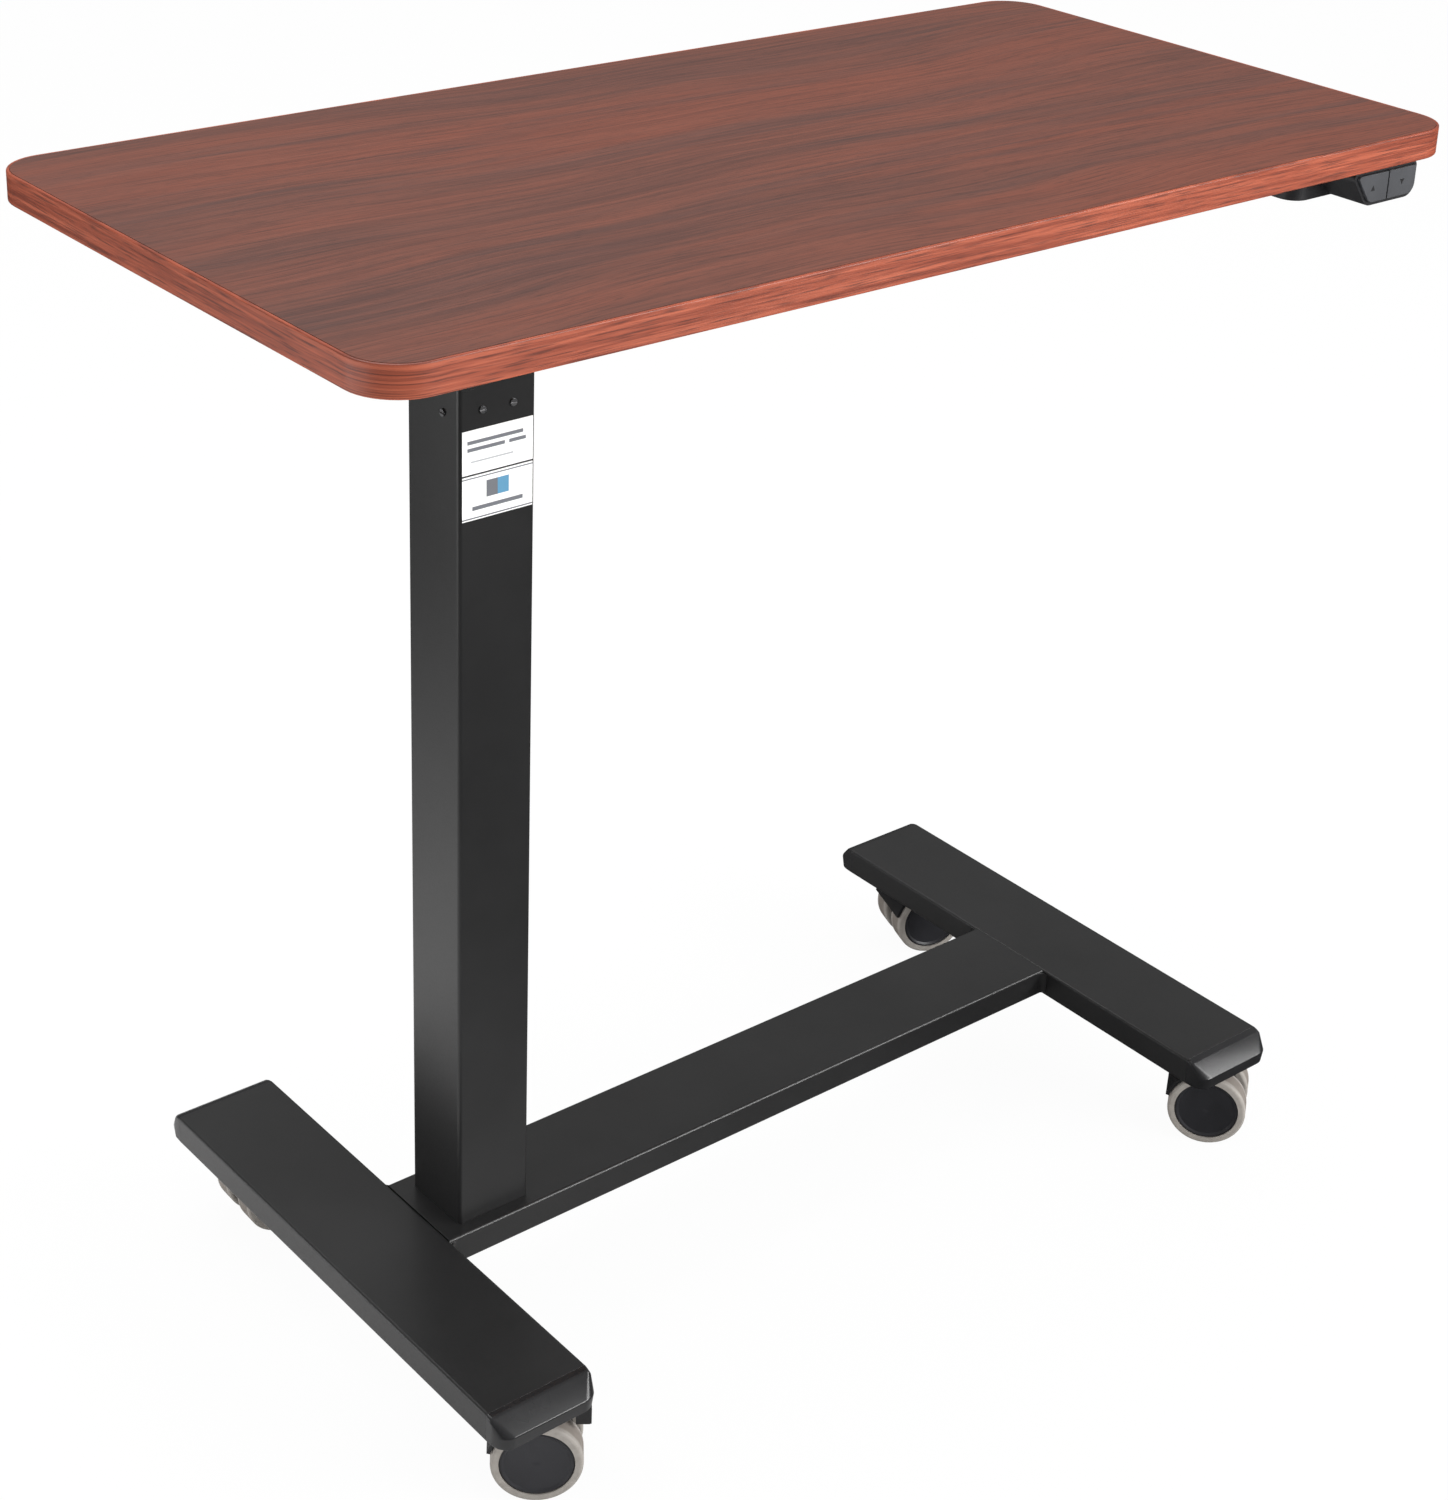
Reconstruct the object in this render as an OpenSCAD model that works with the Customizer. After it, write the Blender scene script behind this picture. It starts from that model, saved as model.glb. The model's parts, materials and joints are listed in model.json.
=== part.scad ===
// Electric overbed table: a laminated top on a single lifting column, over an H-shaped castor base.
// Frame: +X towards the handset end, +Z up, origin on the floor under the centre of the tabletop.

/* [Tabletop] */
// Length of the tabletop, along X
top_l = 800; // [780:10:900]
// Depth of the tabletop, along Y
top_w = 400; // [400:10:450]
// Thickness of the tabletop
top_t = 18; // [16:1:22]
// Plan radius of the tabletop corners
top_corner_r = 30; // [20:5:60]

/* [Height] */
// Height of the tabletop at its lowest setting
low_h = 740; // [740:5:760]
// Lift travel of the column
lift_travel = 360; // [200:10:360]

/* [Column] */
// Place of the column along X
col_x = -211.5; // [-215:0.5:-200]
// Side of the square outer tube
outer_w = 52; // [51:1:53]
// Side of the square inner tube
inner_w = 43; // [43:0.5:43.5]

/* [Base] */
// Height of the underside of the feet
foot_z = 62; // [62:0.5:64]
// Length of a foot with its end caps
foot_l = 385; // [370:5:390]
// Width of a foot
foot_w = 71; // [70:1:80]
// Height of a foot
foot_h = 20; // [20:0.5:21]
// Centre of the left foot along X
left_foot_x = -286.5; // [-290:0.5:-285]
// Centre of the right foot along X
right_foot_x = 305.5; // [290:0.5:320]
// Width of the beam between the feet
beam_w = 71; // [64:1:76]
// Height of the beam
beam_h = 20; // [20:0.5:21]

/* [Castors] */
// Diameter of a castor wheel
wheel_d = 55; // [54:0.5:55]
// Distance from the swivel axis back to the wheel axle
trail = 14; // [13:0.5:15]
// Heading of the left front castor, in degrees
left_front_turn = -35.9; // [-180:0.1:180]
// Heading of the left rear castor, in degrees
left_rear_turn = -2; // [-180:0.1:180]
// Heading of the right front castor, in degrees
right_front_turn = -52.1; // [-180:0.1:180]
// Heading of the right rear castor, in degrees
right_rear_turn = -20; // [-180:0.1:180]

/* [Handset] */
// Centre of the two buttons along X
handset_x = 336; // [320:1:340]
// How far a button travels
button_travel = 1.5; // [1:0.1:2]

/* [Hidden] */
$fn = 48;
eps = 0.01;
run_gap = 0.05;          // radial clearance of every running fit

band_t = 2;              // edge band thickness
laminate_t = 0.8;        // laminate thickness
top_z = low_h - top_t;   // underside of the tabletop
frame_h = 20;            // height of the frame tubes under the top
plate_t = 4;             // column head plate
rail_w = 25;             // width of the frame tubes
rail_y = 42;             // centre of each long rail
rail_left = -327.5;      // left end of the long rails
rail_right = 255;        // right end of the long rails
crossbar_l = 200;
frame_wall = 1.5;
frame_z = top_z - frame_h;
plate_z = frame_z - plate_t;
plate_l = 140;
plate_w = 110;

outer_wall = 2;
inner_wall = 1.8;
outer_r = 2.5;
inner_r = 4;
column_z = foot_z + beam_h;          // top of the beam, where the column starts
outer_top = plate_z - 12;            // top of the outer tube
collar_h = 4;
outer_bore = outer_w - 2 * outer_wall;
inner_bore = inner_w - 2 * inner_wall;
inner_bottom = column_z + 23;
glide_l = 90;
glide_screw_z = column_z + 545;
glide_screw_x = 10.4;
side_screw = [10.4, -3.5];            // y and z of a side screw from the front screws' middle
glide_shank_r = 1.75;
glide_hole_play = 0.15;               // clearance round a glide screw in the tube wall
glide_head_r = 2.3;
glide_head_out = 1.1;

foot_r = 2;
foot_wall = 2;
cap_l = 15.5;                        // length of the sloping end cap
cap_corner_r = 9;
cap_drop = 10;                       // how far the cap top slopes down
foot_tube_l = foot_l - 2 * cap_l;
beam_r = 2;
beam_wall = 2;
beam_left = left_foot_x + foot_w / 2;
beam_right = right_foot_x - foot_w / 2;
weld_r = 5;
stem_offset = 2;                     // how far the castor stems stand to the right of the foot's middle
stem_y = foot_l / 2 - 41;
stem_r = 5.5;
socket_r = 10;
socket_h = 16;
stem_rise = 14;                      // how far a castor stem reaches up into the foot

motor_z = plate_z - 66;              // underside of the motor
motor_h = 58;
motor_r = 17;
gearbox_h = 62;
gearbox_z = motor_z - gearbox_h;
bearing_z = gearbox_z + 20;
bearing_h = 12;
carrier_z = bearing_z + bearing_h + 0.5;
carrier_h = 6.5;
gear_z = carrier_z + carrier_h + 1;  // underside of the planet gears
gear_h = 14;
ring_h = 18;
spindle_r = 6.95;
spindle_z = column_z + 19;           // lower end of the spindle
nut_h = 30;
nut_z = spindle_z + lift_travel + 5; // underside of the spindle nut flange
nut_tube_r = 12;
nut_tube_bore = 9;
plug_h = 10;

gear_module = 0.7;
pressure_angle = 25;
addendum = 0.8 * gear_module;
dedendum = 1.05 * gear_module;
sun_teeth = 12;
planet_teeth = 15;
ring_teeth = 42;
tooth_gap = 0.06;                    // thinning of each tooth flank pair, for backlash
planet_orbit = gear_module * (sun_teeth + planet_teeth) / 2;
flank_steps = 3;

wheel_r = wheel_d / 2;
hub_r = wheel_r - 5;
wheel_w = 18;
wheel_gap = 5.2;                     // from the castor's middle to a wheel's inner face
web_half = 4.6;
axle_r = 4;
axle_half = 19.5;
fender_start = 100;
fender_end = 165;
fender_in = wheel_r + 0.8;
fender_out = wheel_r + 3;
boss_r = 10;
hinge_x = trail + 3;                 // brake pedal hinge, beside the wheel tops
hinge_z = 58;
pedal_half = 14;
pad_x = trail + 22.5;
pad_l = 8.5;

handset_front = -top_w / 2 + 3;
handset_h = 23;
head_l = 30;
head_half = 30;                      // half of the head's width
head_rim = 2.2;                      // housing left around the buttons
button_gap = 0.6;                    // half of the gap between the buttons
button_play = 0.3;
button_depth = 10;                   // depth of the pocket behind the buttons
button_out = 1.8;
box_left = -110;
box_l = 130;
box_w = 56;
box_h = 27;
box_wall = 2;
handset_port = [-15, frame_z + 1, 3];    // y, z and radius of the handset cable's hole
motor_port = [5, frame_z, 2.5];          // the same for the motor lead

// ---- shared shapes ----

module rounded_rect(w, d, r) {
    square([w - 2 * r, d], center = true);
    square([w, d - 2 * r], center = true);
    for (sx = [-1, 1], sy = [-1, 1])
        translate([sx * (w / 2 - r), sy * (d / 2 - r)])
            circle(r = r);
}

module tube_profile(w, d, r, wall) {
    difference() {
        rounded_rect(w, d, r);
        rounded_rect(w - 2 * wall, d - 2 * wall, max(r - wall, 0.5));
    }
}

module square_ring(outer, inner, outer_corner, inner_corner, h) {
    linear_extrude(h)
        difference() {
            rounded_rect(outer, outer, outer_corner);
            rounded_rect(inner, inner, inner_corner);
        }
}

// Turns a profile drawn in X and Y into a bar along X that starts at x = 0.
module bar_along_x(l) {
    rotate([90, 0, 90])
        linear_extrude(l)
            children();
}

// Turns a profile drawn in X and Y into a bar along Y, centred on y = 0.
module bar_along_y(l) {
    translate([0, l / 2, 0])
        rotate([90, 0, 0])
            linear_extrude(l)
                children();
}

module at_column(z) {
    translate([col_x, 0, z])
        children();
}

// Points of an arc in the XZ plane at depth y.
function hanging_arc(x, y, z, r, from, to, steps) =
    [for (i = [0 : steps]) let (a = from + (to - from) * i / steps) [x + r * cos(a), y, z + r * sin(a)]];

function unit(v) = v / norm(v);

// Point a fraction s of the way from b to c, on a smooth curve through a, b, c and d.
function curve_point(a, b, c, d, s) =
    0.5 * (2 * b + (c - a) * s + (2 * a - 5 * b + 4 * c - d) * s * s + (3 * b - a - 3 * c + d) * s * s * s);

function smooth_path(p, steps) =
    let (last = len(p) - 1)
    concat(
        [for (i = [0 : last - 1], k = [0 : steps - 1])
            curve_point(p[max(i - 1, 0)], p[i], p[i + 1], p[min(i + 2, last)], k / steps)],
        [p[last]]
    );

// Side and up directions at each point of a path, carried along it without twist.
function path_frames(p, i = 0, up = [0.1, 0.2, 1]) =
    i == len(p) ? [] :
    let (
        along = unit(p[min(i + 1, len(p) - 1)] - p[max(i - 1, 0)]),
        side = unit(cross(along, up)),
        next_up = cross(side, along)
    )
    concat([[side, next_up]], path_frames(p, i + 1, next_up));

// Round cable swept along a smooth path through a list of points.
module cable(points, r, steps = 3, sides = 12) {
    path = smooth_path(points, steps);
    frames = path_frames(path);
    last = len(path) - 1;
    rings = [for (i = [0 : last], k = [0 : sides - 1])
        path[i] + r * (cos(k * 360 / sides) * frames[i][0] + sin(k * 360 / sides) * frames[i][1])];
    walls = [for (i = [0 : last - 1], k = [0 : sides - 1])
        let (a = i * sides + k, b = i * sides + (k + 1) % sides) [a, a + sides, b + sides, b]];
    ends = [[for (k = [0 : sides - 1]) k], [for (k = [sides - 1 : -1 : 0]) last * sides + k]];
    polyhedron(rings, concat(walls, ends), convexity = 8);
}

// ---- tabletop ----

module top_outline(inset) {
    rounded_rect(top_l - 2 * inset, top_w - 2 * inset, top_corner_r - inset);
}

module tabletop_board() {
    color("burlywood")
        difference() {
            translate([0, 0, top_z])
                linear_extrude(top_t - laminate_t)
                    top_outline(band_t);
            for (p = frame_screw_places)
                translate([p[0], p[1], top_z - eps])
                    cylinder(r = 2, h = 10 + eps);
        }
}

module top_laminate() {
    color("saddlebrown")
        translate([0, 0, low_h - laminate_t])
            linear_extrude(laminate_t)
                top_outline(band_t);
}

// Cross-section of the edge band, with its two outer arrises rounded.
module band_profile() {
    arris_r = 1;
    square([band_t - arris_r, top_t]);
    translate([0, arris_r])
        square([band_t, top_t - 2 * arris_r]);
    for (z = [arris_r, top_t - arris_r])
        translate([band_t - arris_r, z])
            circle(r = arris_r);
}

module edge_band() {
    long_run = top_l - 2 * top_corner_r;
    short_run = top_w - 2 * top_corner_r;
    inner_corner = top_corner_r - band_t;
    color("peru")
        translate([0, 0, top_z]) {
            for (side = [0, 180])
                rotate(side) {
                    translate([long_run / 2, short_run / 2, 0])
                        rotate_extrude(angle = 90, $fn = 96)
                            translate([inner_corner, 0])
                                band_profile();
                    translate([-long_run / 2, short_run / 2, 0])
                        rotate(90)
                            rotate_extrude(angle = 90, $fn = 96)
                                translate([inner_corner, 0])
                                    band_profile();
                    translate([long_run / 2 + inner_corner, short_run / 2, 0])
                        rotate([90, 0, 0])
                            linear_extrude(short_run)
                                band_profile();
                    translate([-long_run / 2, short_run / 2 + inner_corner, 0])
                        rotate([90, 0, 90])
                            linear_extrude(long_run)
                                band_profile();
                }
        }
}

// ---- frame under the top ----

crossbar_x = [rail_left - rail_w / 2, rail_right + rail_w / 2];
head_bolt_places = [for (sx = [-1, 1], sy = [-1, 1]) [col_x + sx * 58, sy * rail_y]];
frame_screw_places = concat(
    [for (x = crossbar_x, y = [-80, 80]) [x, y]],
    [for (x = [-90, 130], sy = [-1, 1]) [x, sy * rail_y]]
);
box_screw_places = [for (x = [box_left - 6, box_left + box_l + 6], y = [-18, 18]) [x, y]];

module column_head_plate() {
    color("dimgray")
        difference() {
            at_column(plate_z)
                linear_extrude(plate_t)
                    rounded_rect(plate_l, plate_w, 8);
            for (p = head_bolt_places)
                translate([p[0], p[1], plate_z - eps])
                    cylinder(r = 3, h = plate_t + 2 * eps);
            at_column(plate_z - eps)
                cylinder(r = 8, h = plate_t + 2 * eps);
        }
}

module top_frame() {
    color("dimgray")
        difference() {
            translate([0, 0, frame_z + frame_h / 2]) {
                for (sy = [-1, 1])
                    translate([rail_left, sy * rail_y, 0])
                        bar_along_x(rail_right - rail_left)
                            tube_profile(rail_w, frame_h, 2.5, frame_wall);
                for (x = crossbar_x)
                    translate([x, 0, 0])
                        bar_along_y(crossbar_l)
                            tube_profile(rail_w, frame_h, 2.5, frame_wall);
            }
            for (p = frame_screw_places)
                translate([p[0], p[1], frame_z - eps])
                    cylinder(r = 2, h = frame_h + 2 * eps);
            for (p = head_bolt_places)
                translate([p[0], p[1], frame_z - eps])
                    cylinder(r = 3, h = 6);
        }
}

// Screws and bolts of everything that rises with the top.
module lift_fasteners() {
    color("silver") {
        for (p = frame_screw_places)
            translate([p[0], p[1], frame_z]) {
                cylinder(r = 2, h = frame_h + 10);
                translate([0, 0, -2.4])
                    cylinder(r = 4, h = 2.4);
            }
        for (p = head_bolt_places)
            translate([p[0], p[1], plate_z]) {
                cylinder(r = 3, h = 9);
                translate([0, 0, -4])
                    cylinder(r = 5.8, h = 4, $fn = 6);
            }
        for (p = box_screw_places)
            translate([p[0], p[1], top_z - 3])
                translate([0, 0, -2])
                    cylinder(r = 3.4, h = 2);
        at_column(gearbox_z + 10)
            for (turn = [0 : 90 : 270])
                rotate(turn)
                    translate([inner_bore / 2 - 6, 0, 0])
                        rotate([0, 90, 0])
                            cylinder(r = 2, h = 6 + inner_wall);
    }
}

// ---- column ----

module outer_tube() {
    color("dimgray")
        difference() {
            at_column(column_z)
                linear_extrude(outer_top - column_z)
                    tube_profile(outer_w, outer_w, outer_r, outer_wall);
            glide_screws(glide_shank_r + glide_hole_play, outer_w / 2 + eps);
        }
}

// Six screws hold the upper glide: two at the front and back, one at each side.
module glide_screws(r, reach) {
    at_column(glide_screw_z) {
        for (turn = [0, 180], sx = [-1, 1])
            rotate(turn)
                translate([sx * glide_screw_x, 0, 0])
                    rotate([90, 0, 0])
                        cylinder(r = r, h = reach);
        for (turn = [0, 180])
            rotate(turn)
                translate([0, side_screw[0], side_screw[1]])
                    rotate([0, 90, 0])
                        cylinder(r = r, h = reach);
    }
}

module outer_glide() {
    slot = inner_w + 2 * run_gap;
    color("black")
        difference() {
            union() {
                at_column(outer_top - glide_l)
                    square_ring(outer_bore, slot, outer_r - outer_wall, inner_r, glide_l + eps);
                at_column(outer_top)
                    square_ring(outer_w - 0.6, slot, outer_r, inner_r, collar_h);
            }
            glide_screws(glide_shank_r, outer_w / 2);
        }
}

module inner_tube() {
    color("gray")
        difference() {
            at_column(inner_bottom)
                linear_extrude(plate_z - inner_bottom)
                    tube_profile(inner_w, inner_w, inner_r, inner_wall);
            at_column(gearbox_z + 10)
                for (turn = [0, 90])
                    rotate(turn)
                        translate([-outer_w / 2, 0, 0])
                            rotate([0, 90, 0])
                                cylinder(r = 2, h = outer_w);
        }
}

module inner_glide() {
    color("black")
        at_column(inner_bottom + 3)
            square_ring(outer_bore - 2 * run_gap, inner_w, outer_r - outer_wall, inner_r, 40);
}

// Tube that carries the spindle nut, on a plug that is bolted to the beam.
module nut_tube() {
    color("lightsteelblue")
        at_column(column_z)
            difference() {
                union() {
                    linear_extrude(plug_h)
                        rounded_rect(outer_bore, outer_bore, outer_r - outer_wall);
                    cylinder(r = nut_tube_r, h = nut_z - column_z);
                }
                translate([0, 0, plug_h + 6])
                    cylinder(r = nut_tube_bore, h = nut_z);
                translate([0, 0, -eps])
                    cylinder(r = 4, h = plug_h + 2);
            }
}

module spindle_nut() {
    color("ivory")
        at_column(nut_z)
            difference() {
                union() {
                    cylinder(r = nut_tube_r + 2, h = nut_h);
                    translate([0, 0, -12])
                        cylinder(r = nut_tube_bore, h = 12 + eps);
                }
                translate([0, 0, -13])
                    cylinder(r = spindle_r + run_gap, h = nut_h + 14);
            }
}

module spindle() {
    color("silver")
        at_column(spindle_z) {
            cylinder(r = spindle_r, h = bearing_z - spindle_z);
            cylinder(r = 5, h = carrier_z - 0.2 - spindle_z);
            cylinder(r = 4, h = carrier_z + carrier_h - spindle_z);
        }
}

module spindle_bearing() {
    color("goldenrod")
        at_column(bearing_z)
            difference() {
                cylinder(r = 13, h = bearing_h);
                translate([0, 0, -eps])
                    cylinder(r = 5 + run_gap, h = bearing_h + 2 * eps);
            }
}

// ---- planetary gear stage ----

function involute(a) = tan(a) * 180 / PI - a;

function half_tooth(teeth, r, extra) =
    let (
        pitch_r = gear_module * teeth / 2,
        base_r = pitch_r * cos(pressure_angle)
    )
    90 / teeth + extra / pitch_r * 180 / PI + involute(pressure_angle) - involute(acos(min(1, base_r / r)));

// Outline of a spur gear: extra widens each tooth on both flanks, a negative value thins it.
function gear_outline(teeth, root_r, tip_r, extra) =
    let (
        base_r = gear_module * teeth / 2 * cos(pressure_angle),
        start_r = max(base_r + eps, root_r),
        radii = [for (i = [0 : flank_steps]) start_r + (tip_r - start_r) * i / flank_steps],
        half = [for (r = radii) half_tooth(teeth, r, extra)],
        rise = concat([[root_r - eps, -half[0]]], [for (i = [0 : flank_steps]) [radii[i], -half[i]]]),
        fall = concat([for (i = [flank_steps : -1 : 0]) [radii[i], half[i]]], [[root_r - eps, half[0]]])
    )
    [for (t = [0 : teeth - 1], p = concat(rise, fall))
        let (a = t * 360 / teeth + p[1]) [p[0] * cos(a), p[0] * sin(a)]];

module spur_gear(teeth, h) {
    pitch_r = gear_module * teeth / 2;
    linear_extrude(h)
        polygon(gear_outline(teeth, pitch_r - dedendum, pitch_r + addendum, -tooth_gap / 2));
}

module ring_gear_space(h) {
    pitch_r = gear_module * ring_teeth / 2;
    linear_extrude(h)
        polygon(gear_outline(ring_teeth, pitch_r - addendum, pitch_r + dedendum, tooth_gap / 2));
}

module gear_housing() {
    color("slategray")
        difference() {
            at_column(gearbox_z)
                linear_extrude(gearbox_h)
                    rounded_rect(inner_bore - 0.2, inner_bore - 0.2, 2.1);
            at_column(gearbox_z - eps)
                cylinder(r = 8, h = 21);
            at_column(bearing_z)
                cylinder(r = 13, h = bearing_h + 1);
            at_column(bearing_z + bearing_h)
                cylinder(r = 15.8, h = carrier_h + 1.5);
            at_column(bearing_z + bearing_h + carrier_h + 1.4)
                ring_gear_space(ring_h);
            at_column(motor_z - 8)
                cylinder(r = 3, h = 9);
            at_column(gearbox_z + 10)
                for (turn = [0 : 90 : 270])
                    rotate(turn)
                        translate([inner_bore / 2 - 6, 0, 0])
                            rotate([0, 90, 0])
                                cylinder(r = 2, h = 7);
        }
}

module planet_carrier() {
    color("darkgray")
        at_column(carrier_z)
            difference() {
                union() {
                    cylinder(r = 14, h = carrier_h);
                    for (turn = [0, 120, 240])
                        rotate(turn)
                            translate([planet_orbit, 0, carrier_h - eps])
                                cylinder(r = 1.5, h = gear_h + 2);
                }
                translate([0, 0, -eps])
                    cylinder(r = 4, h = carrier_h + 2 * eps);
            }
}

module planet_gear(turn) {
    color("gold")
        at_column(gear_z)
            rotate(turn)
                translate([planet_orbit, 0, 0])
                    difference() {
                        spur_gear(planet_teeth, gear_h);
                        translate([0, 0, -eps])
                            cylinder(r = 1.5 + run_gap, h = gear_h + 2 * eps);
                    }
}

// Rotor and shaft in one, with the sun gear cut on the shaft's lower end.
module motor_rotor() {
    color("lightgray")
        at_column(0) {
            translate([0, 0, gear_z])
                spur_gear(sun_teeth, gear_h);
            translate([0, 0, gear_z])
                cylinder(r = 2, h = motor_z + motor_h - 4 - gear_z);
            translate([0, 0, motor_z + 8])
                cylinder(r = 9, h = 38);
        }
}

module motor_can() {
    color("darkslategray")
        at_column(motor_z)
            difference() {
                union() {
                    difference() {
                        cylinder(r = motor_r, h = motor_h);
                        translate([0, 0, -eps])
                            cylinder(r = motor_r - 1.5, h = motor_h - 2);
                    }
                    difference() {
                        translate([0, 0, 6])
                            cylinder(r = motor_r - 1.5 + eps, h = 42);
                        translate([0, 0, 5])
                            cylinder(r = 11, h = 44);
                    }
                    translate([0, 0, motor_h - 8])
                        cylinder(r = 5, h = 7);
                }
                translate([0, 0, motor_h - 8 - eps])
                    cylinder(r = 2 + run_gap, h = 5);
            }
}

// ---- electrics ----

module control_box() {
    color("black")
        difference() {
            union() {
                translate([box_left + box_l / 2, 0, top_z - box_h])
                    linear_extrude(box_h)
                        rounded_rect(box_l, box_w, 4);
                translate([box_left + box_l / 2, 0, top_z - 3])
                    linear_extrude(3)
                        rounded_rect(box_l + 24, box_w - 8, 4);
            }
            translate([box_left + box_l / 2, 0, top_z - box_h + box_wall])
                linear_extrude(box_h)
                    rounded_rect(box_l - 2 * box_wall, box_w - 2 * box_wall, 2);
            for (port = [handset_port, motor_port])
                translate([box_left - eps, port[0], port[1]])
                    rotate([0, 90, 0])
                        cylinder(r = port[2], h = box_wall + 2 * eps);
        }
}

module circuit_board() {
    color("darkgreen")
        translate([box_left + box_l / 2, 0, top_z - box_h + 2]) {
            for (sx = [-1, 1], sy = [-1, 1])
                translate([sx * 55, sy * 20, 0])
                    cylinder(r = 2.5, h = 4 + eps);
            translate([0, 0, 4])
                linear_extrude(1.6)
                    square([118, 48], center = true);
            translate([-30, 0, 5.6 - eps])
                linear_extrude(12)
                    square([30, 26], center = true);
            for (x = [5, 22, 39])
                translate([x, 8, 5.6 - eps])
                    cylinder(r = 6, h = 14);
        }
}

// Last points of a cable, which enters the control box square to its wall.
function into_box(port) = [for (x = [-16, -4, 4]) [box_left + x, port[0], port[1]]];

// Handset cable to the control box, and the motor lead with its slack loop beside the column.
module cables() {
    loop_x = col_x - 24;
    loop_y = -outer_w / 2 - 6;
    loop_z = column_z + 572;
    color("black") {
        cable(concat(
            [[handset_x - 50, -140, top_z - 12], [handset_x - 75, -130, top_z - 6], [-90, -75, top_z - 6]],
            [[-128, -62, frame_z - 6], [-130, -34, frame_z - 6]],
            into_box(handset_port)
        ), handset_port[2]);
        cable(concat(
            [[col_x, 0, plate_z - 6], [col_x, 0, frame_z + 8], [col_x - 78, 0, frame_z + 8]],
            [
                [col_x - 84, -20, frame_z - 6],
                [col_x - 76, -64, frame_z - 8],
                [loop_x - 14, loop_y - 6, loop_z + 22]
            ],
            hanging_arc(loop_x, loop_y, loop_z, 9, 180, 360, 8),
            [
                [loop_x + 17, loop_y - 6, loop_z + 22],
                [col_x + 40, -64, frame_z - 4],
                [-134, -62, frame_z - 13]
            ],
            [[-136, -30, frame_z - 13]],
            into_box(motor_port)
        ), motor_port[2], 2);
    }
}

// ---- handset ----

// Front view of the handset head, flat against the tabletop and slanted at its lower left.
module head_profile(inset) {
    hull() {
        for (side = [-1, 1])
            translate([side * (head_half - 4), -4])
                circle(r = 4 - inset, $fn = 32);
        translate([-head_half + 17, -handset_h + 8])
            circle(r = 8 - inset, $fn = 32);
        translate([head_half - 9, -handset_h + 9])
            circle(r = 9 - inset, $fn = 32);
    }
}

// Stands a front view up on the handset's face, y = 0 at the face, and runs it back from start by l.
module on_face(start, l) {
    translate([handset_x, handset_front + start + l, top_z])
        rotate([90, 0, 0])
            linear_extrude(l)
                children();
}

module handset_housing() {
    body_w = 78;
    body_l = 56;
    wall = 2;
    color("black")
        difference() {
            union() {
                on_face(0, head_l)
                    head_profile(0);
                translate([handset_x - 11, handset_front + head_l + body_l / 2 - 1, top_z - handset_h])
                    linear_extrude(handset_h)
                        rounded_rect(body_w, body_l, 12);
            }
            translate([handset_x - 11, handset_front + head_l + body_l / 2 - 1, top_z - handset_h + wall])
                linear_extrude(handset_h)
                    rounded_rect(body_w - 2 * wall, body_l - 2 * wall, 10);
            on_face(-eps, button_depth)
                head_profile(head_rim);
        }
}

// One of the two buttons, which share the head's outline; side is -1 for the left one.
module button(side) {
    l = button_out + button_depth - button_travel - button_play;
    color("dimgray")
        on_face(-button_out, l)
            intersection() {
                head_profile(head_rim + button_play);
                translate([1 + side * (button_gap + head_half), -handset_h / 2])
                    square([2 * head_half, handset_h], center = true);
            }
}

// ---- base ----

module foot(x) {
    color("dimgray")
        difference() {
            translate([x, 0, foot_z + foot_h / 2])
                bar_along_y(foot_tube_l)
                    tube_profile(foot_w, foot_h, foot_r, foot_wall);
            for (sy = [-1, 1])
                translate([x + stem_offset, sy * stem_y, foot_z - eps])
                    cylinder(r = socket_r, h = foot_wall + 2 * eps);
        }
}

// Side view of an end cap: a flat top that slopes down to a low front.
module cap_side_profile() {
    polygon([
        [0, 0],
        [cap_l - 1, 0],
        [cap_l, 1],
        [cap_l, foot_h - cap_drop - 1.5],
        [cap_l - 1.2, foot_h - cap_drop + 0.6],
        [1.5, foot_h - 0.6],
        [0, foot_h]
    ]);
}

module foot_end_cap() {
    intersection() {
        translate([0, 0, foot_h / 2])
            bar_along_y(2 * cap_l)
                rounded_rect(foot_w, foot_h, foot_r);
        translate([-foot_w / 2, 0, 0])
            bar_along_x(foot_w)
                cap_side_profile();
        linear_extrude(foot_h) {
            translate([-foot_w / 2, 0])
                square([foot_w, 1]);
            translate([0, cap_l - foot_w / 2])
                rounded_rect(foot_w, foot_w, cap_corner_r);
        }
    }
    translate([0, -7 + eps, foot_h / 2])
        bar_along_y(14)
            rounded_rect(foot_w - 2 * foot_wall - 0.2, foot_h - 2 * foot_wall - 0.2, 3);
}

module foot_end_caps() {
    color("black")
        for (x = [left_foot_x, right_foot_x], turn = [0, 180])
            translate([x, 0, foot_z])
                rotate(turn)
                    translate([0, foot_tube_l / 2, 0])
                        foot_end_cap();
}

// Beam between the feet, with the four upright weld beads that join it to them.
module base_beam() {
    color("dimgray") {
        difference() {
            translate([beam_left, 0, foot_z + beam_h / 2])
                bar_along_x(beam_right - beam_left)
                    tube_profile(beam_w, beam_h, beam_r, beam_wall);
            at_column(foot_z - eps)
                cylinder(r = 9, h = beam_wall + 2 * eps);
            at_column(foot_z + beam_h - beam_wall - eps)
                cylinder(r = 4, h = beam_wall + 2 * eps);
        }
        for (corner = [[beam_left, 1], [beam_right, -1]], sy = [-1, 1])
            translate([corner[0], sy * beam_w / 2, foot_z + 2])
                weld_bead(corner[1], sy);
    }
}

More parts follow.
